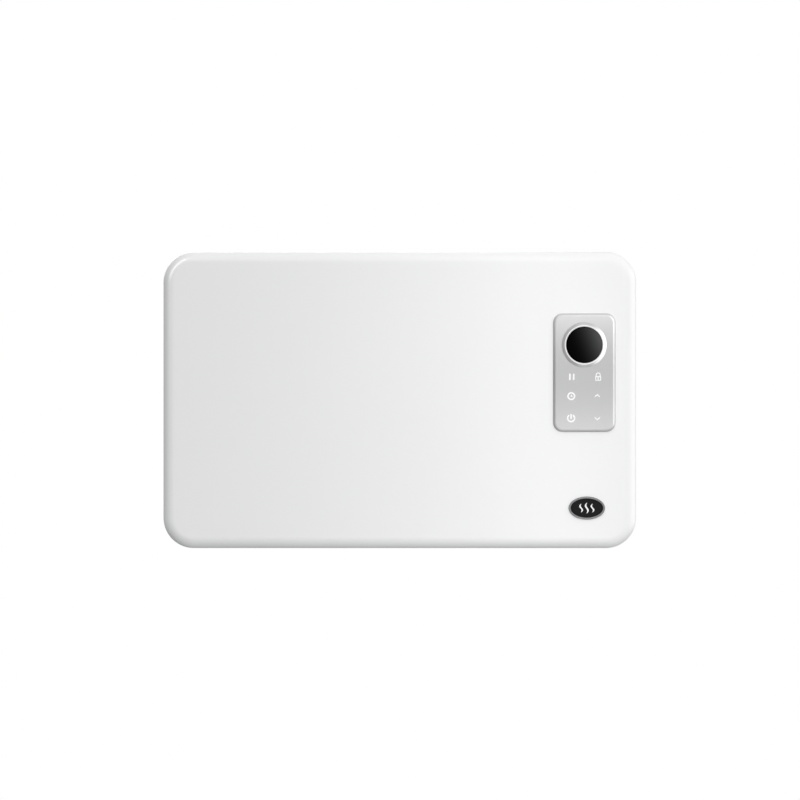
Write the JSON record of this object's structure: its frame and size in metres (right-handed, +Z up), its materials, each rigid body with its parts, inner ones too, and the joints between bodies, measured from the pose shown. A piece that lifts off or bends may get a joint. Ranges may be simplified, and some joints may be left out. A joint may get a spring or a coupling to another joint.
{
  "type": "wall-hung panel heater",
  "caption": "Slim wall-hung electric panel heater: a rounded white steel front with a raised grey touch fascia and round display, hung by slots on a hooked wall bracket.",
  "frame": {"origin": "middle of the wall bracket's four screw holes, on the wall's face", "axes": "+Z up, +X to the right of the heater as seen from the front, +Y into the wall; the front faces -Y"},
  "size_m": [0.6, 0.0873, 0.376],
  "materials": {
    "white_enamel": "smooth satin white powder coat",
    "back_enamel": "white powder coat, slightly grained",
    "zinc_steel": "zinc-plated strip",
    "screw_steel": "bright zinc",
    "rubber_black": "matt black rubber",
    "fascia_grey": "satin silver-grey moulding",
    "ring_pale": "bright pale silver",
    "lens_black": "smoked, polished",
    "badge_black": "gloss black",
    "badge_silver": "dull silver rim",
    "board_green": "lacquered circuit board",
    "black_plastic": "black moulding",
    "pale_plastic": "pale nylon",
    "green_plastic": "green nylon",
    "capacitor_film": "yellow film capacitor",
    "can_aluminium": "sleeved can",
    "transformer_steel": "laminations and coil",
    "galvanised_sheet": "galvanised sheet",
    "reflector_aluminium": "bright aluminium",
    "fin_aluminium": "raw extrusion",
    "core_steel": "sheathed element",
    "ceramic_white": "unglazed steatite",
    "terminal_brass": "plated brass",
    "cutout_steel": "snap-disc cut-out",
    "lead_sleeve": "silicone sleeve",
    "lead_brown": "insulated wire",
    "ribbon_grey": "flat ribbon"
  },
  "bodies": {
    "wall_bracket": {"wall_bracket": "zinc_steel"},
    "heater": {"front_cover": "white_enamel", "back_panel": "back_enamel", "casing_screws": "screw_steel", "chassis_screws": "screw_steel", "wall_spacers": "rubber_black", "spacer_screws": "screw_steel", "control_fascia": "fascia_grey", "display_ring": "ring_pale", "display_lens": "lens_black", "display_board": "board_green", "display_board_screws": "screw_steel", "display_module": "black_plastic", "touch_posts": "black_plastic", "ribbon_plug": "pale_plastic", "control_box_cover": "black_plastic", "badge_rim": "badge_silver", "badge_face": "badge_black", "partition_plate": "galvanised_sheet", "wire_grommet": "rubber_black", "element_bracket_left": "galvanised_sheet", "element_bracket_right": "galvanised_sheet", "element_core": "core_steel", "element_fins_lower": "fin_aluminium", "element_fins_upper": "fin_aluminium", "element_bushes": "ceramic_white", "element_terminal_pins": "terminal_brass", "element_end_seals": "ceramic_white", "heat_reflector": "reflector_aluminium", "thermal_cutout": "cutout_steel", "cutout_tabs": "terminal_brass", "cutout_screws": "screw_steel", "board_standoffs": "black_plastic", "power_board": "board_green", "board_screws": "screw_steel", "relays": "black_plastic", "transformer": "transformer_steel", "film_capacitor": "capacitor_film", "smoothing_capacitor": "can_aluminium", "buzzer": "black_plastic", "mains_terminal_block": "green_plastic", "output_terminal_block": "green_plastic", "ribbon_socket": "pale_plastic", "sensor_socket": "pale_plastic", "mains_switch_body": "black_plastic", "switch_terminals": "terminal_brass", "cable_gland": "black_plastic", "cable_gland_nut": "black_plastic", "room_sensor": "black_plastic", "sensor_holder": "pale_plastic", "earth_stud": "screw_steel", "earth_nut": "screw_steel", "element_leads": "lead_sleeve", "cutout_leads": "lead_sleeve", "switch_leads": "lead_brown", "sensor_lead": "lead_brown", "display_ribbon": "ribbon_grey"},
    "mains_switch_rocker": {"mains_switch_rocker": "black_plastic"}
  },
  "joints": [
    {"name": "lift_off", "type": "slide", "parent": "wall_bracket", "child": "heater", "axis": [0, 0, 1], "range_m": [0, 0.012]},
    {"name": "mains_switch", "type": "hinge", "parent": "heater", "child": "mains_switch_rocker", "pos_m": [0.285, -0.031, -0.1], "axis": [0, 1, 0], "range_deg": [-20, 0]}
  ]
}
